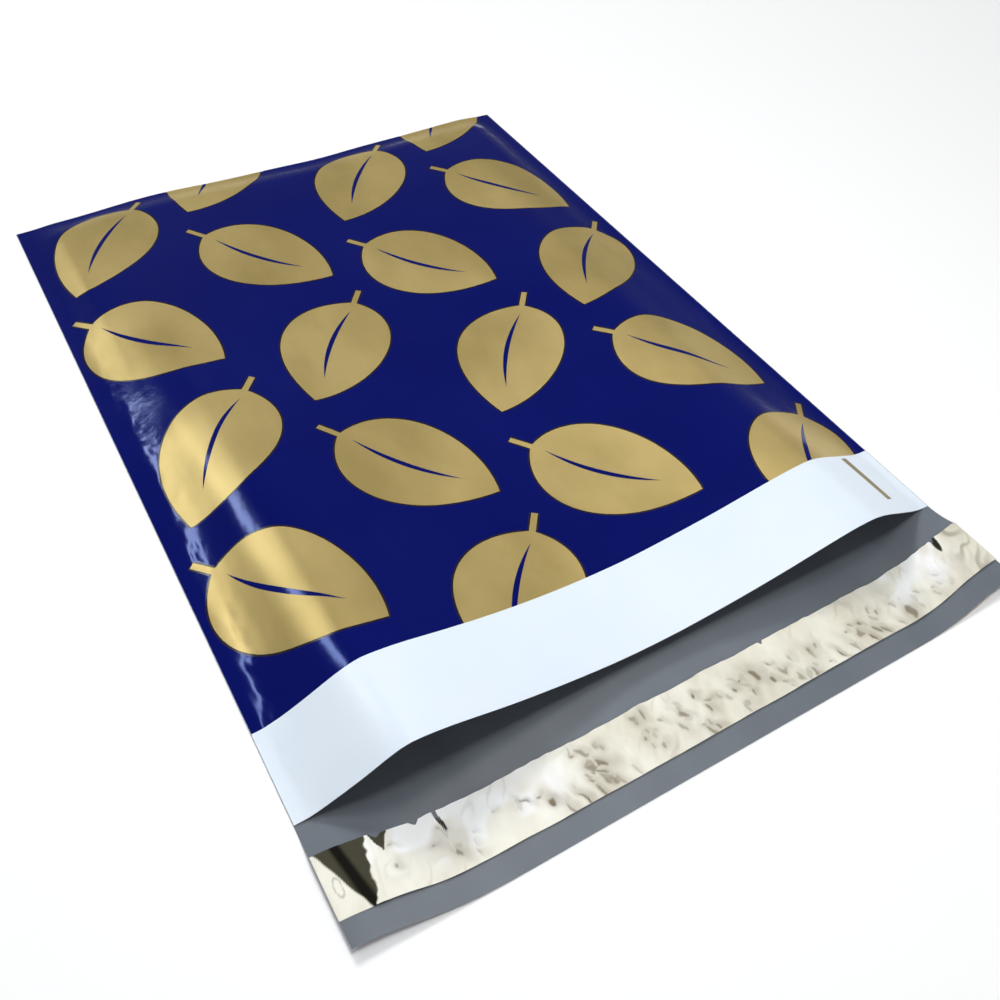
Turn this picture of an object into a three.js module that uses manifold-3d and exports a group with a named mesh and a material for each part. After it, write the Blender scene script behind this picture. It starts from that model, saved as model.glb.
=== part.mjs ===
// Printed poly mailer: a 10 x 13 inch courier pouch of thin plastic film with a peel-and-seal flap.
// It lies on its back, empty, with the front panel standing up in two soft swells at the mouth.
// Millimetres, +Z up. X runs across the pouch and Y from the flap (low) to the bottom fold (high).
import * as THREE from 'three';
import { mergeVertices } from 'three/addons/utils/BufferGeometryUtils.js';
import Module from 'manifold-3d';

// Pouch
const pouchWidth = 254;
const pouchLength = 330;
const flapLength = 44;
const filmThickness = 0.08;
const sideWeldWidth = 4;
const foldNose = 0.6;

// Print: layers of ink lie on the film one above the other, a hair apart
const inkThickness = 0.02;
const layerGap = 0.02;
const inkEdgeGap = 0.3;
const marginWidth = 33;
const markWidth = 3.2;
const markLength = 24;
const markFromSide = 16.2;
const markFromMarginTop = 1.5;

// Air in the pouch: what lifts the front panel off the back panel
const weldCrease = 0.1;
const restingAir = 0.8;
const shoulderWidth = 14;
const foldPuff = 2.6;
const foldPuffRun = 16;
const foldPuffReach = 190;
const swellFade = 1.2;
const leftSwell = { inset: 38.5, height: 12.8, outerWidth: 19, innerWidth: 37, innerReach: 115 };
const rightSwell = { inset: 37.6, height: 9.4, outerWidth: 21, innerWidth: 42, innerReach: 80 };

// Flap: its two ends draw back towards the mouth and lift a little
const flapEndDraw = 4.5;
const flapEndLift = 2.4;
const flapEndReach = 58;

// Peel-and-seal strip across the flap
const stripFromMouth = 26.2;
const linerWidth = 19.6;
const linerThickness = 0.05;
const adhesiveWidth = 16;
const adhesiveThickness = 0.05;
const puckerHeight = 0.5;
const puckerPitch = 11;

// Gold leaf figures, in register with the pouch: so many to its width, its front and its back
const leafLength = 66;
const leafHalfWidth = 22.5;
const leafStemLength = 9;
const leafStemWidth = 2.4;
const leafLean = 52;
const veinWidth = 2;
const leafColumns = 4;
const frontLeafRows = 4;
const backLeafRows = 5;

// Fineness of the facets
const sideSteps = 4;
const innerSteps = 5;
const lengthSteps = 4;
const puffSteps = 2;
const noseSteps = 2;
const puckerSteps = 4;
const leafSteps = 7;
const veinSteps = 3;

const wasm = await Module();
wasm.setup();

// Places that follow from the sizes
const halfWidth = pouchWidth / 2;
const foldY = (pouchLength + flapLength) / 2;
const mouthY = foldY - pouchLength;
const noseY = foldY - foldNose;
const marginY = mouthY + marginWidth;
const weldEdge = halfWidth - sideWeldWidth;
const stripStart = stripFromMouth - linerWidth / 2;
const stripEnd = stripFromMouth + linerWidth / 2;
const layerPitch = inkThickness + layerGap;
const filmBottom = 2 * layerPitch;
const weldMiddle = filmBottom + filmThickness;
const above = 2 * (leftSwell.height + rightSwell.height + foldPuff);
const beyond = 1;

// Smooth step from 0 at low to 1 at high.
function ease(low, high, value) {
  return THREE.MathUtils.smoothstep(value, low, high);
}

// Height of a swell, from 0 to 1, at x: steep towards its own side weld, long towards the middle.
function swellShape(swell, side, x) {
  const fromCrest = side * x - (halfWidth - swell.inset);
  const outside = fromCrest > 0;
  const reach = outside ? swell.inset - sideWeldWidth : swell.innerReach;
  const width = outside ? swell.outerWidth : swell.innerWidth;
  const share = Math.abs(fromCrest) / reach;
  if (share >= 1) return 0;
  return (1 - share ** 2) / (1 + (fromCrest / width) ** 2);
}

// Clear height between the two films. The swells are full at the mouth and die out at the fold.
function airHeight(x, y) {
  const fromFold = Math.max(noseY - y, 0);
  const shoulder = ease(0, shoulderWidth, weldEdge - Math.abs(x));
  const puff = foldPuff * ease(0, foldPuffRun, fromFold) * (1 - ease(foldPuffRun, foldPuffReach, fromFold));
  const fade = Math.sin((Math.PI / 2) * Math.min(fromFold / (noseY - mouthY), 1)) ** swellFade;
  const leftRise = leftSwell.height * swellShape(leftSwell, -1, x);
  const rightRise = rightSwell.height * swellShape(rightSwell, 1, x);
  return weldCrease + shoulder * (restingAir + puff) + fade * (leftRise + rightRise);
}

// Top of the front film. In the welds the two films are one, so no air is between them.
function frontHeight(x, y) {
  const air = Math.abs(x) > weldEdge + sideWeldWidth / 2 ? 0 : airHeight(x, y);
  return filmBottom + 2 * filmThickness + air;
}

// Evenly spaced values from start to end, both included.
function steps(start, end, count) {
  return Array.from({ length: count + 1 }, (_, i) => THREE.MathUtils.lerp(start, end, i / count));
}

// Stations across the pouch: close together on the swells, none in the flat valley.
function stationsAcross(edge) {
  const leftCrest = leftSwell.inset - halfWidth;
  const rightCrest = halfWidth - rightSwell.inset;
  const stations = [
    -edge,
    -halfWidth,
    ...steps(-weldEdge, leftCrest, sideSteps),
    ...steps(leftCrest, leftCrest + leftSwell.innerReach, innerSteps),
    ...steps(rightCrest - rightSwell.innerReach, rightCrest, innerSteps),
    ...steps(rightCrest, weldEdge, sideSteps),
    halfWidth,
    edge,
  ];
  const closest = foldNose;
  stations.sort((a, b) => a - b);
  return stations.filter((x, i) => Math.abs(x) <= edge && (i === 0 || x - stations[i - 1] > closest));
}

// Closed sheet between two surfaces: place(column, row, top) gives its points on a grid.
function sheet(columns, rows, place) {
  const across = columns.length;
  const layer = across * rows.length;
  const positions = [];
  for (const top of [false, true]) {
    for (const row of rows) {
      for (const column of columns) positions.push(...place(column, row, top));
    }
  }
  const index = [];
  const quad = (a, b, c, d) => index.push(a, b, c, a, c, d);
  for (let r = 0; r < rows.length - 1; r++) {
    for (let c = 0; c < across - 1; c++) {
      const a = r * across + c;
      quad(layer + a, layer + a + 1, layer + a + across + 1, layer + a + across);
      quad(a, a + across, a + across + 1, a + 1);
    }
  }
  for (let c = 0; c < across - 1; c++) {
    const last = layer - across + c;
    quad(c, c + 1, layer + c + 1, layer + c);
    quad(last + 1, last, layer + last, layer + last + 1);
  }
  for (let r = 0; r < rows.length - 1; r++) {
    const start = r * across;
    const end = start + across - 1;
    quad(start + across, start, layer + start, layer + start + across);
    quad(end, end + across, layer + end + across, layer + end);
  }
  const geometry = new THREE.BufferGeometry();
  geometry.setAttribute('position', new THREE.Float32BufferAttribute(positions, 3));
  geometry.setIndex(index);
  return solid(geometry);
}

// Solid for cutting and joining, from a closed geometry. Triangles that shrank to a line are left out.
function solid(geometry) {
  const bare = geometry.clone();
  bare.deleteAttribute('normal');
  bare.deleteAttribute('uv');
  const merged = mergeVertices(bare, 1e-4);
  const corners = merged.index.array;
  const kept = [];
  for (let i = 0; i < corners.length; i += 3) {
    const [a, b, c] = corners.slice(i, i + 3);
    if (a !== b && b !== c && c !== a) kept.push(a, b, c);
  }
  const vertProperties = new Float32Array(merged.attributes.position.array);
  return new wasm.Manifold(new wasm.Mesh({ numProp: 3, vertProperties, triVerts: new Uint32Array(kept) }));
}

// Box between two corners.
function block(low, high) {
  const size = high.map((value, i) => value - low[i]);
  const geometry = new THREE.BoxGeometry(...size);
  geometry.translate(...low.map((value, i) => value + size[i] / 2));
  return solid(geometry);
}

// How far the flap's end has curled at x, from 0 to 1 at the side, in the facets of the web's stations.
function endCurl(x) {
  const stations = stationsAcross(halfWidth);
  const next = Math.max(stations.findIndex((station) => station >= x), 1);
  const curl = (station) => ease(halfWidth - flapEndReach, halfWidth, Math.abs(station)) ** 2;
  const share = (x - stations[next - 1]) / (stations[next] - stations[next - 1]);
  return THREE.MathUtils.lerp(curl(stations[next - 1]), curl(stations[next]), share);
}

// A point of the flap. The curl grows from nothing at the mouth to its full size at the strip.
function flapPoint(x, distance, height) {
  const curl = endCurl(x) * THREE.MathUtils.clamp(distance / stripStart, 0, 1);
  return [x, mouthY - distance + flapEndDraw * curl, height + flapEndLift * curl];
}

// A point of the pouch, grown outwards by offset. Past noseY the section turns round the fold.
function pouchPoint(x, row, top, offset) {
  const high = frontHeight(x, row.y) + offset;
  const low = filmBottom - offset;
  return [x, row.y, THREE.MathUtils.lerp((high + low) / 2, top ? high : low, Math.cos(row.turn))];
}

// Rows of the pouch along Y, from the mouth to the nose of the fold.
function pouchRows(offset) {
  const puffY = noseY - foldPuffRun;
  const flat = [mouthY, ...steps(marginY, puffY, lengthSteps), ...steps(puffY, noseY, puffSteps).slice(1)];
  const facet = Math.PI / (2 * noseSteps + 1);
  const turns = steps(facet, noseSteps * facet, noseSteps - 1);
  const round = turns.map((turn) => ({ y: noseY + (foldNose + offset) * Math.sin(turn), turn }));
  return [...flat.map((y) => ({ y, turn: 0 })), ...round];
}

// Everything inside the outside of the web, grown outwards by offset: the pouch as if it were filled, and
// the flap, whose inner face stays where it is. The sides and the flap's edge go past the film by spare.
function filledWeb(offset, spare) {
  const flapRows = [flapLength + spare, stripStart, 0].map((distance) => ({ distance }));
  return sheet(stationsAcross(halfWidth + spare), [...flapRows, ...pouchRows(offset)], (x, row, top) => {
    if (row.distance === undefined) return pouchPoint(x, row, top, offset);
    return flapPoint(x, row.distance, top ? weldMiddle : filmBottom - offset);
  });
}

// The film: back panel, fold, front panel, side welds and flap in one piece, open at the mouth.
function filmPouch() {
  const cavity = sheet(stationsAcross(weldEdge), pouchRows(-filmThickness), (x, row, top) => (
    pouchPoint(x, row, top, -filmThickness)
  ));
  return filledWeb(0, 0).subtract(cavity);
}

// Skin round the outside of the whole web, as layer number level on the film.
function outerSkin(level) {
  const outside = level * layerPitch;
  return filledWeb(outside, 0).subtract(filledWeb(outside - inkThickness, beyond));
}

// The front of the pouch between two distances from the mouth.
function frontBlock(startY, endY) {
  return block([-halfWidth - beyond, startY, weldMiddle], [halfWidth + beyond, endY, above]);
}

// Flat outline of one leaf along +X, stem first.
function leafOutline() {
  const stem = leafStemWidth / 2;
  const length = leafLength;
  const half = leafHalfWidth;
  const blade = new THREE.Path();
  blade.moveTo(-leafStemLength, -stem);
  blade.lineTo(0, -stem);
  blade.bezierCurveTo(length * 0.1, -half * 1.35, length * 0.72, -half * 1.1, length, 0);
  blade.bezierCurveTo(length * 0.6, half * 1.5, length * 0.12, half * 1.3, 0, stem);
  blade.lineTo(-leafStemLength, stem);
  return blade.getPoints(leafSteps);
}

// The bowed vein down the middle of the leaf, where the navy shows through.
function leafVein() {
  const start = new THREE.Vector2(leafLength * 0.08, 0);
  const end = new THREE.Vector2(leafLength * 0.78, 0);
  const bow = new THREE.Vector2((start.x + end.x) / 2, leafHalfWidth * 0.35);
  const vein = new THREE.Path();
  vein.moveTo(start.x, start.y);
  vein.quadraticCurveTo(bow.x, bow.y, end.x, end.y);
  vein.quadraticCurveTo(bow.x, bow.y - 2 * veinWidth, start.x, start.y);
  return vein.getPoints(veinSteps).slice(0, -1);
}

// Prism that cuts one leaf out of a skin. On the back of the web the figure is seen mirrored.
function leafPrism(place, onBack) {
  const along = onBack ? 1 : -1;
  const middle = new THREE.Vector2(leafLength / 2, 0);
  const put = (point) => {
    const local = point.clone().sub(middle).rotateAround(new THREE.Vector2(), place.lean);
    return new THREE.Vector2(place.x + local.x, foldY + along * (place.fromFold + local.y));
  };
  const outline = new THREE.Shape(leafOutline().map(put));
  outline.holes = [new THREE.Path(leafVein().map(put))];
  const geometry = new THREE.ExtrudeGeometry(outline, { depth: above + beyond, bevelEnabled: false });
  geometry.translate(0, 0, -beyond);
  return solid(geometry);
}

// Where the leaves stand on the web. Each second column is half a row lower, so its leaves lie on the fold
// and are cut by the white margin and by the flap's edge. The distance from the fold is negative on the back.
function leafPlaces() {
  const pitchAcross = pouchWidth / leafColumns;
  const frontPitch = (pouchLength - marginWidth) / frontLeafRows;
  const backPitch = (pouchLength + flapLength) / backLeafRows;
  const places = [];
  for (let column = 1; column <= leafColumns; column++) {
    const x = (column - 0.5) * pitchAcross - halfWidth;
    const onFold = column % 2 === 0;
    const addLeaf = (name, row, fromFold) => {
      const lean = THREE.MathUtils.degToRad((row + column) % 2 === 1 ? leafLean : 180 - leafLean);
      places.push({ name, x, fromFold, lean });
    };
    if (onFold) addLeaf(`fold_${column}`, 0, 0);
    for (let row = 1; row <= frontLeafRows; row++) {
      addLeaf(`front_${column}_${row}`, row, frontPitch * (onFold ? row : row - 0.5));
    }
    for (let row = 1; row <= backLeafRows; row++) {
      addLeaf(`back_${column}_${row}`, row, -backPitch * (onFold ? row : row - 0.5));
    }
  }
  return places;
}

// The leaf at one place, wrapped round the fold where it crosses it. Where an edge cuts a leaf to pieces,
// the largest is the one printed.
function leafBody(place, frontSkin, backSkin) {
  const onFront = frontSkin.intersect(leafPrism(place, false));
  const onBack = backSkin.intersect(leafPrism(place, true));
  const pieces = onFront.add(onBack).decompose();
  return pieces.reduce((largest, piece) => (piece.volume() > largest.volume() ? piece : largest));
}

// The glue line on the inside of the flap.
function adhesiveStrip() {
  const distances = [stripFromMouth + adhesiveWidth / 2, stripFromMouth - adhesiveWidth / 2];
  const underside = weldMiddle + layerGap;
  return sheet(stationsAcross(halfWidth), distances, (x, distance, top) => (
    flapPoint(x, distance, top ? underside + adhesiveThickness : underside)
  ));
}

// The liner over the glue line, puckered in waves along the strip.
function releaseLiner() {
  const waves = Math.round(pouchWidth / puckerPitch);
  const stations = steps(-halfWidth, halfWidth, waves * puckerSteps);
  const rest = weldMiddle + layerGap + adhesiveThickness + layerGap;
  return sheet(stations, [stripEnd, stripStart], (x, distance, top) => {
    const pucker = (1 - Math.cos((2 * Math.PI * waves * (x + halfWidth)) / pouchWidth)) / 2;
    return flapPoint(x, distance, rest + puckerHeight * pucker + (top ? linerThickness : 0));
  });
}

const bag = new THREE.Group();

// Adds a solid to the bag as a named mesh of one colour.
function addPiece(name, body, color, roughness, metalness) {
  const { vertProperties, triVerts } = body.getMesh();
  const geometry = new THREE.BufferGeometry();
  geometry.setAttribute('position', new THREE.Float32BufferAttribute(vertProperties, 3));
  geometry.setIndex(Array.from(triVerts));
  geometry.computeVertexNormals();
  const mesh = new THREE.Mesh(geometry, new THREE.MeshStandardMaterial({ color, roughness, metalness }));
  mesh.name = name;
  bag.add(mesh);
}

const navySkin = outerSkin(1);
const goldSkin = outerSkin(2);
const wholeFront = frontBlock(mouthY, foldY + beyond);
const frontSkin = goldSkin.intersect(wholeFront).subtract(frontBlock(mouthY, marginY));
const backSkin = goldSkin.subtract(wholeFront);

addPiece('film_pouch', filmPouch(), 0x5e646b, 0.45, 0);
addPiece('navy_print', navySkin.subtract(frontBlock(mouthY, marginY)), 0x15205c, 0.2, 0);
addPiece('white_margin', navySkin.intersect(frontBlock(mouthY, marginY - inkEdgeGap)), 0xe8f2fc, 0.35, 0);

const markLeft = halfWidth - markFromSide - markWidth / 2;
const markTop = marginY - markFromMarginTop;
const mark = block([markLeft, markTop - markLength, weldMiddle], [markLeft + markWidth, markTop, above]);
addPiece('register_mark', goldSkin.intersect(mark), 0x857e62, 0.4, 0.6);

for (const place of leafPlaces()) {
  addPiece(`gold_leaf_${place.name}`, leafBody(place, frontSkin, backSkin), 0xb8a361, 0.3, 0.8);
}

addPiece('adhesive_strip', adhesiveStrip(), 0xcfc9a8, 0.6, 0);
addPiece('release_liner', releaseLiner(), 0xd2d1bd, 0.15, 0.4);

export default bag;
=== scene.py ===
"""The poly mailer's looks: printed film, white band, leaves, puckered liner, floor, light and camera.

The print is laid out flat on the web of film, and then every point of it is put on the pouch's surface.
Sizes are in millimetres until a mesh is made. X runs across the pouch, Y from the flap to the bottom fold.
On the web, u runs across and v along it: from the lip over the front, the fold, the back and the flap.
"""
import math

import bpy
import numpy as np
from mathutils import Matrix, Vector
from mathutils.geometry import delaunay_2d_cdt
from mathutils.kdtree import KDTree


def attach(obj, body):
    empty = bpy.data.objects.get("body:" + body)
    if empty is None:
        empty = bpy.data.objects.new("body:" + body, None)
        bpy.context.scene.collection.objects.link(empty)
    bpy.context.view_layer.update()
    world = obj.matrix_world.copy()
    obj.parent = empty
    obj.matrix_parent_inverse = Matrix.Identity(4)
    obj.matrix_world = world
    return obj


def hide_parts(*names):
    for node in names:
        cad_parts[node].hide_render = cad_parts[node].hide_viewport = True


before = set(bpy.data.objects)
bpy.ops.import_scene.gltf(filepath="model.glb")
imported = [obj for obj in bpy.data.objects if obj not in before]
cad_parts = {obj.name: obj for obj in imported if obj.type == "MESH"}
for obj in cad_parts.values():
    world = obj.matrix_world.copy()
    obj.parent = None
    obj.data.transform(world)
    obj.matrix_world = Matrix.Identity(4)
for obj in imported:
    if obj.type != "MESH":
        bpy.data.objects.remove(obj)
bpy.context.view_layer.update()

MM = 0.001

# Pouch, as the solids have it
WIDTH = 254
LENGTH = 330
FLAP = 44
SIDE_WELD = 4
NOSE = 0.6
FILM = 0.1
BACK_OUTSIDE = 0.02
MARGIN = 33
MARK_WIDTH = 3.2
MARK_LENGTH = 24
MARK_FROM_SIDE = 16.2
MARK_FROM_MARGIN = 1.5
# Section of the bead along a side weld: distance from the side, and height above the print
BEAD = [(0, -0.02), (0, 0.02), (0.1, 0.04), (0.2, 0.03), (0.28, -0.02)]

# Air in the pouch
WELD_CREASE = 0.1
RESTING_AIR = 0.8
SHOULDER = 14
FOLD_PUFF = 2.6
FOLD_PUFF_RUN = 16
FOLD_PUFF_REACH = 190
SWELL_FADE = 1.2
LEFT_SWELL = {"side": -1, "inset": 38.5, "height": 12.8, "outer": 19, "inner": 37, "reach": 115}
RIGHT_SWELL = {"side": 1, "inset": 37.6, "height": 9.4, "outer": 21, "inner": 42, "reach": 80}

# Rises and hollows across the pouch: place, width and height
SLOPE_WAVES = [(-103, 7.5, 1.5), (-119, 4.2, -0.16)]
LIP_WAVES = [(-101, 17, 1.2), (-10, 32, -1.9)]
FOLD_WAVES = [(-62, 30, 3.2), (108, 26, 1.4), (24, 20, -1.4)]
# Distances from the mouth between which the waves of the left swell's slope grow to their full height
SLOPE_START = 15
SLOPE_FULL = 55
FOLD_WAVE_REACH = 90

# Slack of the front film, which lets the mouth stand open
MOUTH_LIFT = 4.5
MOUTH_LEAN = 2.2
MOUTH_ENDS = 30
MOUTH_REACH = 90

# How noise is skewed: the shares of x and of y that make its first axis, and then its second axis
PLAIN = ((1, 0), (0, 1))
ACROSS_ONLY = ((1, 0), (0, 0))
# Slack rolls of the front film, and pleats along its side welds: height, skew, cell and seed of their noise
ROLLS = [(0.28, ((1, 0.35), (0, 1)), 38, 3), (0.1, ((1, 0), (-0.5, 1)), 15, 4)]
SEAM_PLEATS = [(0.19, ((1.2, -0.3), (0.4, 0.45)), 4.5, 5), (0.05, ((1, 0.6), (-1, 0.6)), 2.8, 6)]
ROLLS_FROM_SIDE = (1, 12)
ROLLS_FROM_FOLD = 8
SEAM_FROM_SIDE = 8
SEAM_WIDTH = 5
SEAM_FADE_Y = (40, 160)
RIGHT_SEAM_SHARE = 0.6

# Flap
END_DRAW = 4.5
END_LIFT = 2.4
END_REACH = 58
CURL_EASE = 1.6
STRIP_FROM_MOUTH = 26.2
LINER_WIDTH = 19.6
GLUE_WIDTH = 16
GLUE_FROM_SIDE = 1
GLUE_HEIGHT = 0.05

# Leaves. Handles of their edges and places on their veins are shares of the length and of the half width
LEAF_LENGTH = 66
LEAF_HALF = 22.5
LOWER_HANDLES = np.array([(0.1, -1.35), (0.72, -1.1)])
UPPER_HANDLES = np.array([(0.6, 1.5), (0.12, 1.3)])
STEM_LENGTH = 9
STEM_WIDTH = 2.4
LEAF_LEAN = math.radians(52)
VEIN_START = 0.08
VEIN_END = 0.78
VEIN_BOW = 0.35
VEIN_WIDTH = 2
LEAF_COLUMNS = 4
FRONT_LEAF_ROWS = 4
BACK_LEAF_ROWS = 5
TRAP_WIDTH = 0.75

# Fineness of the meshes
FRONT_STEP = 1.5
BACK_STEP = 4
BACK_COLUMN_STRIDE = 3
FOLD_STEPS = 12
CURL_STEPS = 8
STRIP_STEPS = 14
EDGE_POINTS = 48
VEIN_POINTS = 24
OUTLINE_CLEARANCE = 0.6
CUT_TOLERANCE = 1e-5
TINY = 1e-9
NOISE_CELLS = 64
NORMAL_STEP = 0.05
GLUE_COLUMNS = 128
GLUE_ROWS = 9
LINER_STEP = 0.35

# Camera, fitted to the corners in the photograph: place in metres, angles in degrees
CAMERA_PLACE = (-0.1476, -0.2736, 0.2790)
CAMERA_AZIMUTH = -32.8
CAMERA_ELEVATION = 48.18
CAMERA_ROLL = 3.195
CAMERA_LENS = 36.554
CAMERA_SENSOR = 36
CAMERA_NEAR = 0.01

# Floor, in metres
FLOOR_REACH = 4
FLOOR_DROP = 0.00005

# Light of the room around
ROOM_COLOR = (0.93, 0.96, 1, 1)
ROOM_STRENGTH = 0.15

# Places that follow from the sizes
HALF = WIDTH / 2
WELD_EDGE = HALF - SIDE_WELD
FOLD_Y = (LENGTH + FLAP) / 2
MOUTH_Y = FOLD_Y - LENGTH
NOSE_Y = FOLD_Y - NOSE
NOSE_REACH = 2 * NOSE
WEB_END = 2 * LENGTH + FLAP
STRIP_START = STRIP_FROM_MOUTH - LINER_WIDTH / 2
WEB_COLUMNS = np.linspace(-HALF, HALF, round(WIDTH / FRONT_STEP) + 1)


# Curves and noise

def smooth(low, high, value):
    """Smooth step from 0 at low to 1 at high."""
    share = np.clip((value - low) / (high - low), 0, 1)
    return share * share * (3 - 2 * share)


def bell(value, middle, width):
    """1 at middle, falling to nothing a few widths away."""
    return np.exp(-(((value - middle) / width) ** 2))


def waves(x, bumps):
    """Rises and hollows across the pouch, added up."""
    return sum(height * bell(x, middle, width) for middle, width, height in bumps)


def soft_noise(x, y, cell, seed):
    """Smooth noise from -1 to 1, with one random value to each cell."""
    size = NOISE_CELLS
    table = np.random.default_rng(seed).uniform(-1, 1, (size, size))
    across, along = np.asarray(x) / cell, np.asarray(y) / cell
    i, j = np.floor(across).astype(int), np.floor(along).astype(int)
    s, t = smooth(0, 1, across - i), smooth(0, 1, along - j)
    near = table[i % size, j % size] * (1 - t) + table[i % size, (j + 1) % size] * t
    far = table[(i + 1) % size, j % size] * (1 - t) + table[(i + 1) % size, (j + 1) % size] * t
    return near * (1 - s) + far * s


def noise_at(x, y, layer):
    """Noise of one layer, which is its height, skew, cell and seed."""
    height, (first, second), cell, seed = layer
    return height * soft_noise(first[0] * x + first[1] * y, second[0] * x + second[1] * y, cell, seed)


def bezier(start, first, second, end, count):
    """Points of a cubic curve, without its end."""
    t = np.linspace(0, 1, count, endpoint=False)[:, None]
    start, first, second, end = (np.array(point, float) for point in (start, first, second, end))
    return (1 - t) ** 3 * start + 3 * (1 - t) ** 2 * t * first + 3 * (1 - t) * t ** 2 * second + t ** 3 * end


def bowed_line(start, bow, end, count):
    """Points of a line that is pulled towards bow, without its end."""
    t = np.linspace(0, 1, count, endpoint=False)[:, None]
    return (1 - t) ** 2 * start + 2 * (1 - t) * t * bow + t ** 2 * end


# Shape of the web

def swell_shape(swell, x):
    """Height of a swell, from 0 to 1: steep towards its own side weld, long towards the middle."""
    from_crest = swell["side"] * x - (HALF - swell["inset"])
    outside = from_crest > 0
    reach = np.where(outside, swell["inset"] - SIDE_WELD, swell["reach"])
    width = np.where(outside, swell["outer"], swell["inner"])
    share = np.minimum(np.abs(from_crest) / reach, 1)
    return (1 - share ** 2) / (1 + (from_crest / width) ** 2)


def air_height(x, y):
    """Clear height between the two films."""
    from_fold = np.maximum(NOSE_Y - y, 0)
    shoulder = smooth(0, SHOULDER, WELD_EDGE - np.abs(x))
    puff = FOLD_PUFF * smooth(0, FOLD_PUFF_RUN, from_fold)
    puff = puff * (1 - smooth(FOLD_PUFF_RUN, FOLD_PUFF_REACH, from_fold))
    fade = np.sin(math.pi / 2 * np.clip(from_fold / (NOSE_Y - MOUTH_Y), 0, 1)) ** SWELL_FADE
    swells = sum(swell["height"] * swell_shape(swell, x) for swell in (LEFT_SWELL, RIGHT_SWELL))
    crease = WELD_CREASE * (1 - smooth(WELD_EDGE, HALF, np.abs(x)))
    slope = waves(x, SLOPE_WAVES) * smooth(MOUTH_Y + SLOPE_START, MOUTH_Y + SLOPE_FULL, y)
    return crease + shoulder * (RESTING_AIR + puff) + fade * (swells + slope)


def crinkles(x, y):
    """Small waves in the front film: slack rolls everywhere, sharp pleats along the side welds."""
    from_side = HALF - np.abs(x)
    off_edges = smooth(*ROLLS_FROM_SIDE, from_side) * smooth(0, ROLLS_FROM_FOLD, FOLD_Y - y)
    rolls = sum(noise_at(x, y, layer) for layer in ROLLS)
    near_mouth = 1 - smooth(*SEAM_FADE_Y, y)
    seam = bell(from_side, SEAM_FROM_SIDE, SEAM_WIDTH) * near_mouth * np.where(x < 0, 1, RIGHT_SEAM_SHARE)
    pleats = sum(noise_at(x, y, layer) for layer in SEAM_PLEATS)
    return off_edges * rolls + seam * pleats


def flap_curl(u, v):
    """How far the flap's ends are drawn back and lifted, from 0 to 1."""
    towards_end = smooth(HALF - END_REACH, HALF, np.abs(u)) ** 2
    return towards_end * np.clip((v - 2 * LENGTH) / STRIP_START, 0, 1) ** CURL_EASE


def web_point(u, v):
    """Points of the outside of the web."""
    u, v = np.asarray(u, float), np.asarray(v, float)
    turn = np.clip((v - (LENGTH - NOSE)) / (2 * NOSE), 0, 1) * math.pi
    body_y = np.minimum(MOUTH_Y + np.where(v < LENGTH, v, 2 * LENGTH - v), NOSE_Y)
    top = BACK_OUTSIDE + 2 * FILM + air_height(u, body_y) + crinkles(u, body_y)
    z = (top + BACK_OUTSIDE) / 2 + (top - BACK_OUTSIDE) / 2 * np.cos(turn)
    stray = waves(u, FOLD_WAVES) * smooth(-FOLD_WAVE_REACH, 0, -np.abs(v - LENGTH))
    curl = flap_curl(u, v)
    slack = 1 - smooth(0, MOUTH_REACH, v)
    opening = smooth(0, MOUTH_ENDS, HALF - np.abs(u)) * slack
    lift = MOUTH_LIFT * opening + slack * waves(u, LIP_WAVES)
    y = body_y + NOSE * np.sin(turn) + END_DRAW * curl + stray - MOUTH_LEAN * opening
    return np.stack([u, y, z + END_LIFT * curl + lift], axis=-1)


def web_normal(u, v):
    """Outward directions of the web at those places."""
    across = web_point(u + NORMAL_STEP, v) - web_point(u - NORMAL_STEP, v)
    along = web_point(u, v + NORMAL_STEP) - web_point(u, v - NORMAL_STEP)
    normal = np.cross(across, along)
    return normal / np.linalg.norm(normal, axis=-1, keepdims=True)


# Leaves, flat on the web

def leaf_outline(grow=0.0):
    """Outline of one leaf along +X, stem first, grown outwards by that much."""
    stem = STEM_WIDTH / 2
    size = (LEAF_LENGTH, LEAF_HALF)
    lower = bezier((0, -stem), *(LOWER_HANDLES * size), (LEAF_LENGTH, 0), EDGE_POINTS)
    upper = bezier((LEAF_LENGTH, 0), *(UPPER_HANDLES * size), (0, stem), EDGE_POINTS)
    points = np.vstack([[(-STEM_LENGTH, -stem)], lower, upper, [(0, stem), (-STEM_LENGTH, stem)]])
    along = np.roll(points, -1, axis=0) - np.roll(points, 1, axis=0)
    outward = np.stack([along[:, 1], -along[:, 0]], axis=1)
    return points + grow * outward / np.linalg.norm(outward, axis=1, keepdims=True)


def leaf_vein():
    """The bowed slit down the middle of a leaf."""
    start = np.array((VEIN_START * LEAF_LENGTH, 0))
    end = np.array((VEIN_END * LEAF_LENGTH, 0))
    bow = np.array(((start[0] + end[0]) / 2, VEIN_BOW * LEAF_HALF))
    there = bowed_line(start, bow, end, VEIN_POINTS)
    back = bowed_line(end, bow - (0, 2 * VEIN_WIDTH), start, VEIN_POINTS)
    return np.vstack([there, back])


def leaf_places():
    """Middle and lean of each leaf. Each second column is half a row lower."""
    faces = [(FRONT_LEAF_ROWS, LENGTH - MARGIN, 1), (BACK_LEAF_ROWS, LENGTH + FLAP, -1)]
    places = []
    for column in range(1, LEAF_COLUMNS + 1):
        u = (column - 0.5) * WIDTH / LEAF_COLUMNS - HALF
        on_fold = column % 2 == 0
        rows = [(0, 0.0)] if on_fold else []
        for count, length, sign in faces:
            for row in range(1, count + 1):
                rows.append((row, sign * length / count * (row if on_fold else row - 0.5)))
        for row, from_fold in rows:
            lean = LEAF_LEAN if (row + column) % 2 == 1 else math.pi - LEAF_LEAN
            places.append((u, LENGTH - from_fold, lean))
    return places


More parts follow.
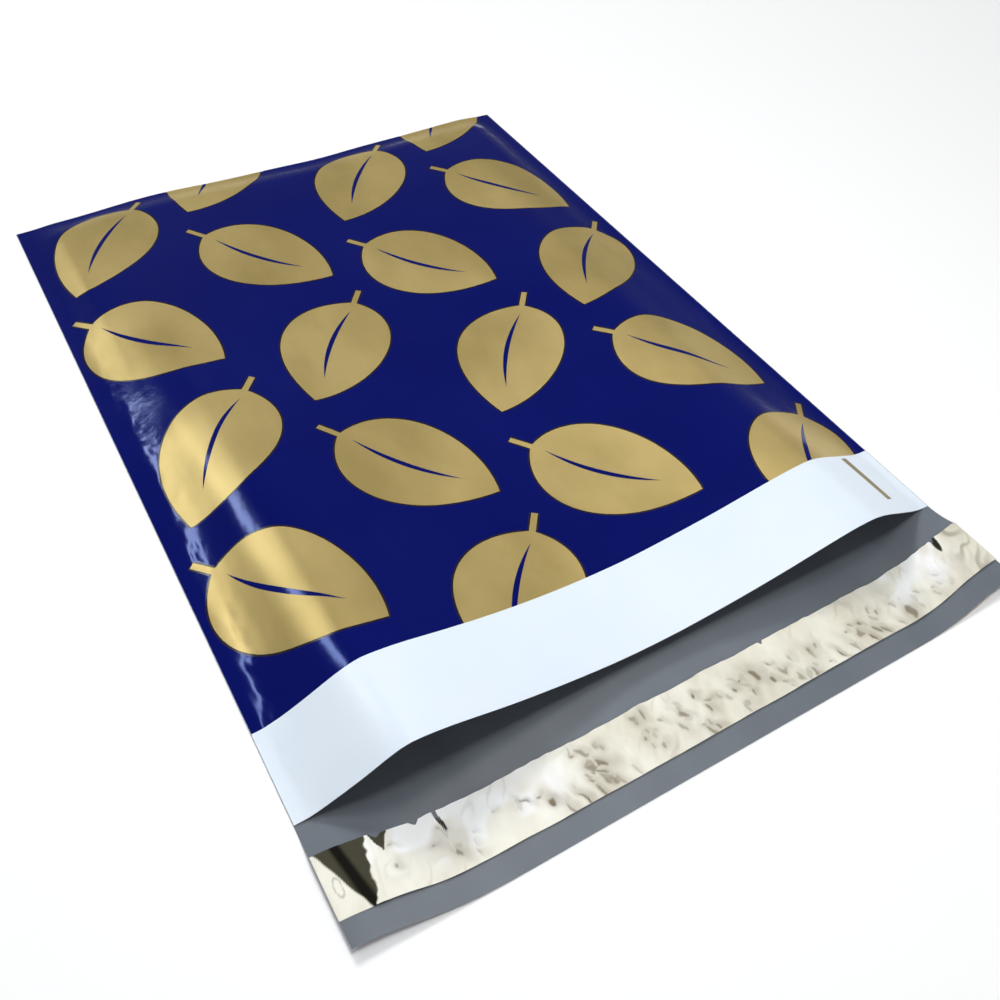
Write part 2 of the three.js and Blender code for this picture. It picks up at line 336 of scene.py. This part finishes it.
def place_on_web(points, place):
    """Flat figure points, turned and moved to one place on the web."""
    u, v, lean = place
    x, y = points[:, 0] - LEAF_LENGTH / 2, points[:, 1]
    turned_x = x * math.cos(lean) - y * math.sin(lean)
    turned_y = x * math.sin(lean) + y * math.cos(lean)
    return np.stack([u + turned_x, v - turned_y], axis=1)


def rectangle(left, low, width, height):
    """Corners of a rectangle."""
    return np.array([(0, 0), (width, 0), (width, height), (0, height)], float) + (left, low)


def inside(polygon, points):
    """Which of the points lie inside the polygon."""
    a, b = polygon, np.roll(polygon, -1, axis=0)
    px, py = points[:, 0:1], points[:, 1:2]
    crosses = (a[:, 1] > py) != (b[:, 1] > py)
    rise = np.where(b[:, 1] == a[:, 1], TINY, b[:, 1] - a[:, 1])
    at = a[:, 0] + (py - a[:, 1]) / rise * (b[:, 0] - a[:, 0])
    return (np.sum(crosses & (px < at), axis=1) % 2) == 1


# The print, cut into triangles along its outlines

NAVY, TRAP, GOLD, WHITE, MARK = range(5)


def web_rows():
    """Rows along the web: close together on the front and the fold, wide apart on the flat back."""
    fold_start, fold_end = LENGTH - NOSE_REACH, LENGTH + NOSE_REACH
    flap_start, strip_start = 2 * LENGTH, 2 * LENGTH + STRIP_START
    stretches = [
        (0, MARGIN, round(MARGIN / FRONT_STEP)),
        (MARGIN, fold_start, round((fold_start - MARGIN) / FRONT_STEP)),
        (fold_start, fold_end, FOLD_STEPS),
        (fold_end, flap_start, round(LENGTH / BACK_STEP)),
        (flap_start, strip_start, CURL_STEPS),
        (strip_start, WEB_END, STRIP_STEPS),
    ]
    rows = [np.linspace(start, end, count, endpoint=False) for start, end, count in stretches]
    return np.append(np.concatenate(rows), WEB_END)


def print_figures():
    """Outlines of what is printed: dark rings, gold leaves and their veins, and the mark."""
    leaves = leaf_places()
    rings = [place_on_web(leaf_outline(TRAP_WIDTH), leaf) for leaf in leaves]
    golds = [place_on_web(leaf_outline(), leaf) for leaf in leaves]
    veins = [place_on_web(leaf_vein(), leaf) for leaf in leaves]
    mark_left = HALF - MARK_FROM_SIDE - MARK_WIDTH / 2
    mark_low = MARGIN - MARK_FROM_MARGIN - MARK_LENGTH
    return rings, golds, veins, rectangle(mark_left, mark_low, MARK_WIDTH, MARK_LENGTH)


def grid_points(loops):
    """Points of the web's grid that keep clear of the outlines."""
    corners = np.vstack(loops)
    tree = KDTree(len(corners))
    for index, corner in enumerate(corners):
        tree.insert((*corner, 0), index)
    tree.balance()
    points = []
    for v in web_rows():
        on_back = LENGTH + NOSE_REACH < v < 2 * LENGTH - BACK_STEP
        for u in WEB_COLUMNS[::BACK_COLUMN_STRIDE] if on_back else WEB_COLUMNS:
            _, _, away = tree.find((u, v, 0))
            if away > OUTLINE_CLEARANCE:
                points.append((u, v))
    return points


def cut_web(loops):
    """Points, triangles and triangles' middles of the web, cut along the outlines and the margin's edge."""
    points, edges = grid_points(loops), []
    for loop in loops:
        first = len(points)
        points.extend(map(tuple, loop))
        edges.extend((first + i, first + (i + 1) % len(loop)) for i in range(len(loop)))
    edges.append((len(points), len(points) + 1))
    points.extend([(-HALF, MARGIN), (HALF, MARGIN)])
    found, _, faces, *_ = delaunay_2d_cdt([Vector(p) for p in points], edges, [], 0, CUT_TOLERANCE)
    web, triangles = np.array([tuple(p) for p in found]), np.array(faces)
    middles = web[triangles].mean(axis=1)
    on_web = (np.abs(middles[:, 0]) < HALF) & (middles[:, 1] > 0) & (middles[:, 1] < WEB_END)
    return web, triangles[on_web], middles[on_web]


def print_layout():
    """Points and triangles of the whole printed web, and what is printed on each triangle."""
    rings, golds, veins, mark = print_figures()
    border = rectangle(-HALF, 0, WIDTH, WEB_END)
    web, triangles, middles = cut_web([*rings, *golds, *veins, mark, border])
    kinds = np.full(len(triangles), NAVY)
    for kind, figures in ((TRAP, rings), (GOLD, golds), (NAVY, veins)):
        for figure in figures:
            near = np.flatnonzero(np.linalg.norm(middles - figure.mean(axis=0), axis=1) < LEAF_LENGTH)
            kinds[near[inside(figure, middles[near])]] = kind
    kinds[middles[:, 1] < MARGIN] = WHITE
    kinds[inside(mark, middles)] = MARK
    return web, triangles, kinds


# Making meshes

def make_piece(name, points, faces, materials, replaces=(), normals=None, face_materials=None):
    """A piece from points in millimetres, smooth, riding on the pouch."""
    mesh = bpy.data.meshes.new(name)
    mesh.from_pydata((np.asarray(points) * MM).tolist(), [], [list(map(int, face)) for face in faces])
    for material in materials:
        mesh.materials.append(material)
    mesh.polygons.foreach_set("use_smooth", [True] * len(mesh.polygons))
    if face_materials is not None:
        mesh.polygons.foreach_set("material_index", face_materials)
    mesh.update()
    if normals is not None:
        mesh.normals_split_custom_set_from_vertices(normals.tolist())
    piece = bpy.data.objects.new(name, mesh)
    bpy.context.scene.collection.objects.link(piece)
    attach(piece, "root")
    if replaces:
        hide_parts(*replaces)
    return piece


def printed_piece(name, layout, wanted, materials, replaces):
    """The triangles of some printed kinds, put on the outside of the web."""
    web, triangles, kinds = layout
    chosen = np.isin(kinds, wanted)
    used, faces = np.unique(triangles[chosen], return_inverse=True)
    u, v = web[used].T
    face_materials = [wanted.index(kind) for kind in kinds[chosen]]
    faces = faces.reshape(-1, 3)
    make_piece(name, web_point(u, v), faces, materials, replaces, web_normal(u, v), face_materials)


def grid_faces(rows, columns, flip=False):
    """Quads of a grid of points, row by row."""
    faces = []
    for r in range(rows - 1):
        for c in range(columns - 1):
            a = r * columns + c
            quad = (a, a + 1, a + columns + 1, a + columns)
            faces.append(quad[::-1] if flip else quad)
    return faces


def inner_film(material):
    """The grey inside of the web."""
    rows = web_rows()
    u, v = (a.ravel() for a in np.meshgrid(WEB_COLUMNS, rows))
    normals = web_normal(u, v)
    points = web_point(u, v) - FILM * normals
    faces = grid_faces(len(rows), len(WEB_COLUMNS), flip=True)
    make_piece("film_inside", points, faces, [material], ["film_pouch"], -normals)


def film_edges(material):
    """The film's cut ends at the lip and the flap, and the pale beads along its cut and welded sides."""
    points, faces = [], []
    for v_end in (0, WEB_END):
        v = np.full_like(WEB_COLUMNS, v_end)
        outside = web_point(WEB_COLUMNS, v)
        faces += [[len(points) + i for i in face] for face in grid_faces(2, len(v))]
        points += [*outside, *(outside - FILM * web_normal(WEB_COLUMNS, v))]
    rows = web_rows()
    rows = rows[rows < LENGTH + NOSE_REACH]
    for side in (-1, 1):
        quads = grid_faces(len(BEAD), len(rows), flip=side > 0)
        faces += [[len(points) + i for i in face] for face in quads]
        for inset, lift in BEAD:
            u = np.full_like(rows, side * (HALF - inset))
            points += [*(web_point(u, rows) + lift * web_normal(u, rows))]
    make_piece("film_cut_edges", points, faces, [material])


# Materials

def shader_of(material):
    """The shader of a material."""
    return material.node_tree.nodes["Principled BSDF"]


def new_material(name, roughness, metallic=0.0, **sockets):
    """A material with one shader. Its other sockets are set by their names, with spaces as underlines."""
    material = bpy.data.materials.new(name)
    material.use_nodes = True
    shader = shader_of(material)
    shader.inputs["Roughness"].default_value = roughness
    shader.inputs["Metallic"].default_value = metallic
    for socket, value in sockets.items():
        shader.inputs[socket.replace("_", " ")].default_value = value
    return material


def add_node(material, kind, links=(), **values):
    """A node with its values set by their names, and its inputs linked to outputs."""
    node = material.node_tree.nodes.new(kind)
    for name, value in values.items():
        node.inputs[name.replace("_", " ")].default_value = value
    for socket, output in dict(links).items():
        material.node_tree.links.new(output, node.inputs[socket])
    return node


def object_noise(material, scale, detail=2, stretch=(1, 1, 1)):
    """Noise in the piece's own space, stretched by a mapping."""
    place = add_node(material, "ShaderNodeTexCoord")
    mapping = add_node(material, "ShaderNodeMapping", {"Vector": place.outputs["Object"]}, Scale=stretch)
    links = {"Vector": mapping.outputs["Vector"]}
    return add_node(material, "ShaderNodeTexNoise", links, Scale=scale, Detail=detail).outputs["Fac"]


def mesh_value(material, name):
    """A value that is kept in the mesh."""
    node = add_node(material, "ShaderNodeAttribute")
    node.attribute_name = name
    return node.outputs["Fac"]


def add_bump(material, layers):
    """Bump from several noises: each layer is a noise, its strength and its depth in millimetres."""
    links = {}
    for noise, strength, depth in layers:
        links["Height"] = noise
        bump = add_node(material, "ShaderNodeBump", links, Strength=strength, Distance=depth * MM)
        links["Normal"] = bump.outputs["Normal"]
    material.node_tree.links.new(links["Normal"], shader_of(material).inputs["Normal"])


def vary_color(material, noise, dark, light, low=0.3, high=0.7):
    """Base colour that goes from dark to light as the noise goes from low to high."""
    ramp = add_node(material, "ShaderNodeValToRGB", {"Fac": noise})
    for element, position, color in zip(ramp.color_ramp.elements, (low, high), (dark, light)):
        element.position = position
        element.color = (*color, 1)
    base = shader_of(material).inputs["Base Color"]
    base.default_value = (*light, 1)
    material.node_tree.links.new(ramp.outputs["Color"], base)
    return ramp.outputs["Color"]


def blend_in(material, color, other, mask):
    """Base colour that goes from color to the other one by a mask."""
    mix = add_node(material, "ShaderNodeMixRGB", {"Fac": mask, "Color1": color}, Color2=(*other, 1))
    material.node_tree.links.new(mix.outputs["Color"], shader_of(material).inputs["Base Color"])
    return mix.outputs["Color"]


def navy_material():
    """Glossy navy ink."""
    material = new_material("navy_ink", 0.13, Specular_IOR_Level=0.35, Specular_Tint=(0.35, 0.48, 1, 1))
    vary_color(material, object_noise(material, 14, 3), (0.0015, 0.0035, 0.1), (0.0025, 0.006, 0.117))
    ripples = object_noise(material, 160)
    grain = object_noise(material, 900)
    add_bump(material, [(ripples, 0.12, 0.6), (grain, 0.06, 0.1)])
    return material


def trap_material():
    """The dark line where gold and navy ink overlap."""
    material = new_material("ink_overlap", 0.25)
    vary_color(material, object_noise(material, 300), (0.008, 0.004, 0.016), (0.02, 0.011, 0.014))
    return material


def gold_material(name, light, dark, metallic):
    """Satin metallic ink with faint drag lines along the web and cloudy patches."""
    material = new_material(name, 0.41, metallic)
    clouds = object_noise(material, 26, 5, (1, 0.6, 1))
    vary_color(material, clouds, dark, light, 0.34, 0.62)
    drag = object_noise(material, 260, 3, (1, 0.08, 1))
    grain = object_noise(material, 2600)
    ripples = object_noise(material, 120)
    add_bump(material, [(drag, 0.16, 0.3), (grain, 0.12, 0.05), (ripples, 0.1, 0.6)])
    return material


def white_material():
    """Satin white outer layer of the film."""
    material = new_material("white_film", 0.32, Specular_IOR_Level=0.35)
    vary_color(material, object_noise(material, 30, 3), (0.73, 0.81, 0.895), (0.76, 0.835, 0.91))
    add_bump(material, [(object_noise(material, 140), 0.1, 0.6)])
    return material


def grey_material():
    """Satin grey inner layer of the film, with fine drawing lines along the web."""
    material = new_material("grey_film", 0.4)
    tone = object_noise(material, 60, 3, (1, 0.3, 1))
    vary_color(material, tone, (0.129, 0.148, 0.171), (0.15, 0.171, 0.196))
    add_bump(material, [(object_noise(material, 200, 2, (1, 0.25, 1)), 0.15, 0.4)])
    return material


def edge_material():
    """Pale cut edge of the film."""
    material = new_material("film_edge", 0.5)
    vary_color(material, object_noise(material, 700), (0.28, 0.3, 0.33), (0.5, 0.52, 0.54))
    return material


def liner_material():
    """Shiny silvery release film. Its stains with painted shade, its painted highlights, and the painted
    shade and black of its dark fold, slits and tear come from the mesh.
    """
    material = new_material("release_film", 0.3, Specular_IOR_Level=0.4)
    clouds = object_noise(material, 70, 4, (1, 0.5, 1))
    color = vary_color(material, clouds, (0.71, 0.675, 0.56), (0.84, 0.82, 0.71), 0.38, 0.62)
    # Painted highlights: pale patches where the liner would catch the light.
    color = blend_in(material, color, (0.93, 0.94, 0.93), mesh_value(material, "pale"))
    # Brown stains, with painted shade in and beside the dents, in the pleats and along the creases.
    color = blend_in(material, color, (0.14, 0.1, 0.045), mesh_value(material, "stain_and_shade"))
    # Painted shade in the dark fold and under the turned-in tear, and painted black in the fold's core and
    # the slits.
    color = blend_in(material, color, (0.06, 0.056, 0.036), mesh_value(material, "shade"))
    blend_in(material, color, (0.006, 0.005, 0.003), mesh_value(material, "black"))
    dull = {"Value": mesh_value(material, "shade")}
    roughness = add_node(material, "ShaderNodeMapRange", dull, To_Min=0.3, To_Max=0.9)
    material.node_tree.links.new(roughness.outputs["Result"], shader_of(material).inputs["Roughness"])
    ripples = object_noise(material, 420, 3)
    grain = object_noise(material, 1500)
    add_bump(material, [(ripples, 0.25, 0.4), (grain, 0.1, 0.1)])
    return material


def glue_material():
    """Clear tacky glue over the grey film."""
    material = new_material("hot_melt_glue", 0.18)
    vary_color(material, object_noise(material, 240, 3), (0.075, 0.085, 0.095), (0.095, 0.105, 0.115))
    add_bump(material, [(object_noise(material, 500), 0.15, 0.2)])
    return material


# The strip on the flap

def on_flap(x, distance, lift):
    """Points above the flap's inner face."""
    v = 2 * LENGTH + distance
    return web_point(x, v) - (FILM + lift)[..., None] * web_normal(x, v)


def glue_strip(material):
    """The glue line under the liner."""
    columns = np.linspace(-HALF + GLUE_FROM_SIDE, HALF - GLUE_FROM_SIDE, GLUE_COLUMNS)
    rows = STRIP_FROM_MOUTH + np.linspace(-GLUE_WIDTH / 2, GLUE_WIDTH / 2, GLUE_ROWS)
    x, distance = (a.ravel() for a in np.meshgrid(columns, rows))
    points = on_flap(x, distance, np.full(x.size, GLUE_HEIGHT))
    faces = grid_faces(len(rows), len(columns), flip=True)
    make_piece("glue_line", points, faces, [material], ["adhesive_strip"])


# Noises of the liner: height, skew, cell and seed
UPPER_EDGE = [(0.35, ACROSS_ONLY, 9, 21), (0.15, ACROSS_ONLY, 2.5, 22)]
LOWER_EDGE = (0.25, ACROSS_ONLY, 12, 23)
PUCKERS = [(0.225, ((1, 0.3), (0, 0.25)), 5.5, 24), (0.08, ((1, 0.45), (0, 0.3)), 2.4, 25)]
FOLD_WANDER = (0.5, PLAIN, 3, 28)
FOLD_JAG = (1.3, PLAIN, 1.9, 27)
TEAR_JAG = (0.9, PLAIN, 1.3, 36)
DENT_BEND = (0.9, PLAIN, 2.6, 34)
DENT_DRIFT = (0.05, PLAIN, 2.2, 35)
WISP_BEND = (1.6, PLAIN, 4, 30)
WISPS = (1, ((1, 0), (0, 0.3)), 3.6, 31)
WISP_PATCHES = (1, PLAIN, 9, 32)
PALE_PATCHES = (1, ((1, 0.4), (0, 1)), 5.5, 33)
CREASE_BEND = (2.5, PLAIN, 5, 37)
CREASES = (1.7, PLAIN, 5.5, 26)

# Heights of the liner above the flap's inner face: at rest, of the ridge beside the fold, and of its dents
LINER_REST = 0.14
RIDGE_HEIGHT = 0.5
DENT_DEPTH = 0.22
# How strong the marks are, from 0 to 1
WISP_STAIN = 0.16
HALO_STAIN_AND_SHADE = 0.48
CREASE_SHADE = 0.5
RING_STAIN = 0.45
SLIT_BLACK = 0.7
# Values between which each mark rises from nothing to full
DENT_STAIN_AND_SHADE = (0.3, 0.85)
WISP_LINES = (0.7, 1)
WISP_SPREAD = (-0.2, 0.6)
CREASE_LINES = (0.1, 0.9)
RING_LINE = (0.06, 0.2)
PALE_SPREAD = (-0.35, 0.35)
PALE_RISE = (0, 0.5)
PALE_FADE = (0.5, 1)
SHADE_RIM = (-0.15, 0.35)
CORE_RISE = (0.25, 0.85)
CORE_RIM = (0, 0.6)
SLIT_RIM = (0, 0.4)
BLACK_SHADE = (0, 0.4)
TEAR_RIM = (0, 0.5)
# How pale the painted highlights make the liner between and in their patches
PALE_TONES = (0.25, 1)
# How wisps and creases lean, in millimetres across for each one along, and how creases are drawn out
WISP_LEAN = 0.5
CREASE_LEAN = 0.9
CREASE_STRETCH = 0.6
CREASE_SLANT = 0.3

# Tears in the liner's upper edge: place across, half width and depth
NOTCHES = [(-108.4, 1.6, 1.2), (-97.0, 1.5, 1.4), (-90.6, 0.6, 4.0), (31.0, 0.9, 1.3), (113.0, 1.0, 1.6)]
NOTCH_ROUNDNESS = 0.8
# The tear whose turned-in edge shows dark, as painted shade
DARK_TEAR = (-108.0, 2.8, 6.4)
# Dark slits that carry on from the tears, painted black as shade: place across and from the mouth, half
# width, half length and slant
SLITS = [(-90.3, 19.6, 0.8, 3.9, 0.2), (113.7, 17.6, 1.5, 5.6, -0.15)]
# The faint ring at the left end, given as the slits are
RING = (-123.4, 27.6, 1.1, 2.9, 0)
# The dark fold near the left end, drawn as painted shade with a painted black core, at the liner's upper and
# lower edge: places across, and width of its core
FOLD_LEFT = (-126.0, -117.6)
FOLD_RIGHT = (-112.0, -115.6)
FOLD_CORE = (-120.0, -116.6)
CORE_WIDTH = (1.9, 2.3)
# Distances past the fold between which the puckers begin, and the ridge rises and falls
PUCKERS_BEGIN = (-1, 2)
RIDGE_RISE = (-2.5, 0)
RIDGE_FALL = (0, 3)
# Stretches of dents: middle, spread, count, upper and lower limit across the liner, and least and most depth
STRETCHES = [
    (-84, 30, 11, 0.15, 0.9, 0.3, 0.8),
    (-63, 4, 3, 0.4, 0.8, 0.7, 1.0),
    (-42, 9, 22, 0.2, 0.9, 0.5, 0.9),
    (-14, 26, 20, 0.15, 0.95, 0.3, 0.8),
    (22, 34, 24, 0.25, 0.95, 0.3, 0.9),
    (66, 36, 20, 0.4, 0.95, 0.4, 0.9),
    (96, 14, 9, 0.5, 0.9, 0.3, 0.6),
]
DENT_SEED = 11
DENT_WIDTHS = (0.5, 1.0)
DENT_LENGTHS_IN_WIDTHS = (0.9, 2.6)
DENT_SLANTS = (-0.3, 0.8)
# A dent's halo, a smudge whose shifted side is painted shade: how far it is shifted across, and its width
# and length in those of the dent
HALO_SHIFT = 0.8
HALO_WIDTH = 2.6
HALO_LENGTH = 1.8
# Long pleats that end at the lower edge, dark with painted shade: place across and depth
LINER_PLEATS = [
    (-55, 0.7), (-49.5, 0.9), (-44, 0.8), (-37, 0.6), (-31, 0.4), (12, 0.5), (35, 0.6), (52, 0.9),
    (58, 0.6), (66, 0.9), (72, 0.8), (79, 0.5), (90, 0.4),
]
PLEAT_SHARES = (0.84, 0.94)
PLEAT_WIDTHS = (0.6, 1.0)
PLEAT_LENGTHS = (2.2, 3.8)
PLEAT_SLANTS = (0.25, 0.7)
# Where the liner has its painted highlights, and where its creases carry painted shade: middle and reach
# along it
PALE_PLACES = [(-82, 26), (98, 13)]
CREASED_PLACE = (120.5, 6)


def dents():
    """Dents of the liner: place across, share of the width, size, slant and depth."""
    draw = np.random.default_rng(DENT_SEED)
    found = []
    for middle, spread, count, upper, lower, least, most in STRETCHES:
        for _ in range(count):
            across = draw.normal(middle, spread / 2)
            share = draw.uniform(upper, lower)
            wide = draw.uniform(*DENT_WIDTHS) + draw.uniform(0, 1) ** 3
            long = wide * draw.uniform(*DENT_LENGTHS_IN_WIDTHS)
            slant = draw.uniform(*DENT_SLANTS)
            found.append((across, share, wide, long, slant, draw.uniform(least, most)))
    for across, depth in LINER_PLEATS:
        share = draw.uniform(*PLEAT_SHARES)
        wide = draw.uniform(*PLEAT_WIDTHS)
        long = draw.uniform(*PLEAT_LENGTHS)
        found.append((across, share, wide, long, draw.uniform(*PLEAT_SLANTS), depth))
    return found


def lens(x, distance, oval):
    """1 in the middle of a slanted oval, falling to 0 at its rim."""
    middle, from_mouth, wide, long, slant = oval
    along = distance - from_mouth
    return 1 - np.hypot((x - middle - slant * along) / wide, along / long)


def between(ends, share):
    """The value at that share of the way from the first end to the second."""
    return ends[0] + share * (ends[1] - ends[0])


def liner_edges(x):
    """Distances of the liner's upper and lower edge from the mouth."""
    upper = STRIP_START + sum(noise_at(x, x, layer) for layer in UPPER_EDGE)
    for middle, half_width, depth in NOTCHES:
        upper = upper + depth * np.clip(1 - np.abs(x - middle) / half_width, 0, 1) ** NOTCH_ROUNDNESS
    lower = STRIP_START + LINER_WIDTH + noise_at(x, x, LOWER_EDGE)
    return upper, lower


def dent_marks(x, share, distance):
    """How far the dents press the liner down, and how dark they make it: brown stain with painted shade in
    and beside them.
    """
    bent_x = x + noise_at(x, distance, DENT_BEND)
    bent_share = share + noise_at(x, distance, DENT_DRIFT)
    pressed, stain_and_shade = np.zeros_like(x), np.zeros_like(x)
    for middle, at, wide, long, slant, depth in dents():
        along = (bent_share - at) * LINER_WIDTH
        across = bent_x - middle - slant * along
        dent = bell(across, 0, wide) * bell(along, 0, long)
        halo = bell(across, HALO_SHIFT, wide * HALO_WIDTH) * bell(along, 0, long * HALO_LENGTH)
        pressed = pressed + DENT_DEPTH * depth * dent
        stain_and_shade = np.maximum(stain_and_shade, depth * np.maximum(smooth(*DENT_STAIN_AND_SHADE, dent), HALO_STAIN_AND_SHADE * halo))
    return pressed, stain_and_shade


def wisps(x, distance):
    """How stained the liner is by faint wisps."""
    bent_x = x + WISP_LEAN * distance + noise_at(x, distance, WISP_BEND)
    lines = smooth(*WISP_LINES, 1 - np.abs(noise_at(bent_x, distance, WISPS)))
    return WISP_STAIN * lines * smooth(*WISP_SPREAD, noise_at(x, distance, WISP_PATCHES))


def creases(x, distance):
    """How dark the liner is along the creases at its right end, by painted shade, and by the stained ring at
    its left end.
    """
    bent_x = x + CREASE_LEAN * distance + noise_at(x, distance, CREASE_BEND)
    drawn_out = CREASE_STRETCH * distance - CREASE_SLANT * x
    lines = smooth(*CREASE_LINES, 1 - np.abs(noise_at(bent_x, drawn_out, CREASES)))
    rim = 1 - smooth(*RING_LINE, np.abs(lens(x, distance, RING)))
    return np.maximum(CREASE_SHADE * bell(x, *CREASED_PLACE) * lines, RING_STAIN * rim)


def painted_highlight(x, share, distance):
    """Painted highlights: how pale the liner is, in patches, most in its upper half."""
    patches = smooth(*PALE_SPREAD, noise_at(x, distance, PALE_PATCHES))
    places = smooth(*PALE_RISE, sum(bell(x, middle, reach) for middle, reach in PALE_PLACES))
    return places * between(PALE_TONES, patches) * (1 - smooth(*PALE_FADE, share))


def in_dark_fold(x, share, distance):
    """How far each point is inside the dark fold near the left end, in millimetres."""
    left = between(FOLD_LEFT, share) + noise_at(x, distance, FOLD_WANDER)
    right = between(FOLD_RIGHT, share) + noise_at(x, distance, FOLD_JAG)
    return np.minimum(x - left, right - x)


def darkness(x, share, distance):
    """Painted shade and black of the liner: how shaded and how black it is by its dark fold, its slits and
    the dark tear.
    """
    in_fold = in_dark_fold(x, share, distance)
    core = bell(x, between(FOLD_CORE, share), between(CORE_WIDTH, share))
    black = smooth(*CORE_RISE, core) * smooth(*CORE_RIM, in_fold)
    for slit in SLITS:
        black = np.maximum(black, SLIT_BLACK * smooth(*SLIT_RIM, lens(x, distance, slit)))
    shade = np.maximum(smooth(*SHADE_RIM, in_fold), smooth(*BLACK_SHADE, black))
    middle, half_width, depth = DARK_TEAR
    reach = depth * (1 - np.abs(x - middle) / half_width) + noise_at(x, distance, TEAR_JAG)
    return np.maximum(shade, smooth(*TEAR_RIM, STRIP_START + reach - distance)), black


def liner_shape(x, share):
    """Distance from the mouth, height above the flap, and masks of the liner's stains, painted shade and
    painted highlights.
    """
    distance = between(liner_edges(x), share)
    past_fold = x - between(FOLD_RIGHT, share)
    puckered = smooth(*PUCKERS_BEGIN, past_fold)
    puckers = sum(layer[0] + noise_at(x, distance, layer) for layer in PUCKERS)
    pressed, dent_stain_and_shade = dent_marks(x, share, distance)
    ridge = RIDGE_HEIGHT * smooth(*RIDGE_RISE, past_fold) * (1 - smooth(*RIDGE_FALL, past_fold))
    height = LINER_REST + puckered * (puckers - pressed) + ridge
    stain_and_shade = np.maximum(puckered * np.maximum(wisps(x, distance), dent_stain_and_shade), creases(x, distance))
    shade, black = darkness(x, share, distance)
    masks = {"stain_and_shade": stain_and_shade, "pale": painted_highlight(x, share, distance), "shade": shade, "black": black}
    return distance, np.maximum(height, LINER_REST), masks


def liner(material):
    """The puckered release liner, from x along it and a share of its width."""
    columns = np.linspace(-HALF, HALF, round(WIDTH / LINER_STEP) + 1)
    shares = np.linspace(0, 1, round(LINER_WIDTH / LINER_STEP) + 1)
    x, share = (a.ravel() for a in np.meshgrid(columns, shares))
    distance, height, masks = liner_shape(x, share)
    faces = grid_faces(len(shares), len(columns), flip=True)
    points = on_flap(x, distance, height)
    piece = make_piece("liner_film", points, faces, [material], ["release_liner"])
    for name, values in masks.items():
        attribute = piece.data.attributes.new(name, "FLOAT", "POINT")
        attribute.data.foreach_set("value", values.astype(np.float32))


# Stage, light and camera

def add_floor():
    """A plain pale floor."""
    mesh = bpy.data.meshes.new("floor")
    signs = [(-1, -1), (1, -1), (1, 1), (-1, 1)]
    corners = [(x * FLOOR_REACH, y * FLOOR_REACH, -FLOOR_DROP) for x, y in signs]
    mesh.from_pydata(corners, [], [(0, 1, 2, 3)])
    mesh.materials.append(new_material("pale_floor", 0.8, Base_Color=(0.97, 0.97, 0.965, 1)))
    floor = bpy.data.objects.new("floor", mesh)
    bpy.context.scene.collection.objects.link(floor)


def add_light(name, azimuth, elevation, distance, size, power, color=(1, 1, 1), lean=0, mirrored=True):
    """A soft box that shines on the pouch. Azimuth 0 is past the fold, and 90 is to the right of it."""
    turn, rise = math.radians(azimuth), math.radians(elevation)
    away = Vector((math.sin(turn) * math.cos(rise), math.cos(turn) * math.cos(rise), math.sin(rise)))
    data = bpy.data.lights.new(name, "AREA")
    data.shape = "RECTANGLE"
    data.size, data.size_y = size
    data.energy = power
    data.color = color
    lamp = bpy.data.objects.new(name, data)
    lamp.location = away * distance
    lamp.visible_glossy = mirrored
    upright = away.to_track_quat("Z", "Y").to_matrix()
    lamp.rotation_euler = (upright @ Matrix.Rotation(math.radians(lean), 3, "Z")).to_euler()
    bpy.context.scene.collection.objects.link(lamp)


def add_lights():
    """Soft studio light from above. Only the overhead box and the strip mirror in the film."""
    world = bpy.data.worlds.new("room")
    world.use_nodes = True
    background = world.node_tree.nodes["Background"]
    background.inputs["Color"].default_value = ROOM_COLOR
    background.inputs["Strength"].default_value = ROOM_STRENGTH
    bpy.context.scene.world = world
    add_light("key", azimuth=5, elevation=34.5, distance=3.2, size=(0.95, 0.6), power=66, mirrored=False)
    add_light("near", azimuth=180, elevation=78, distance=0.55, size=(0.14, 0.1), power=0.9, mirrored=False)
    add_light("fill", azimuth=185, elevation=28, distance=2, size=(1.2, 0.8), power=9.5, mirrored=False)
    add_light("overhead", azimuth=46, elevation=70, distance=1.6, size=(0.6, 0.5), power=4.3)
    add_light("strip", azimuth=-37, elevation=42, distance=1.8, size=(0.64, 0.14), power=4.8,
              color=(0.9, 0.95, 1), lean=37)
    bpy.context.scene.view_settings.view_transform = "Standard"


def add_camera():
    """The photograph's view."""
    data = bpy.data.cameras.new("camera")
    data.sensor_width = CAMERA_SENSOR
    data.lens = CAMERA_LENS
    data.clip_start = CAMERA_NEAR
    azimuth, tilt, roll = (math.radians(a) for a in (CAMERA_AZIMUTH, 90 - CAMERA_ELEVATION, CAMERA_ROLL))
    turn = Matrix.Rotation(azimuth, 4, "Z") @ Matrix.Rotation(tilt, 4, "X") @ Matrix.Rotation(roll, 4, "Z")
    camera = bpy.data.objects.new("camera", data)
    camera.matrix_world = Matrix.Translation(CAMERA_PLACE) @ turn
    bpy.context.scene.collection.objects.link(camera)
    bpy.context.scene.camera = camera


def add_print():
    """The four printed pieces."""
    layout = print_layout()
    navy = [navy_material(), trap_material()]
    leaf_gold = gold_material("leaf_gold", (0.725, 0.553, 0.217), (0.54, 0.405, 0.145), 0.6)
    mark_gold = gold_material("mark_gold", (0.27, 0.21, 0.085), (0.24, 0.185, 0.075), 0.3)
    leaf_nodes = [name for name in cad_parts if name.startswith("gold_leaf")]
    printed_piece("print_navy", layout, [NAVY, TRAP], navy, ["navy_print"])
    printed_piece("print_gold", layout, [GOLD], [leaf_gold], leaf_nodes)
    printed_piece("margin_white", layout, [WHITE], [white_material()], ["white_margin"])
    printed_piece("margin_mark", layout, [MARK], [mark_gold], ["register_mark"])


add_print()
inner_film(grey_material())
film_edges(edge_material())
glue_strip(glue_material())
liner(liner_material())
add_floor()
add_lights()
add_camera()
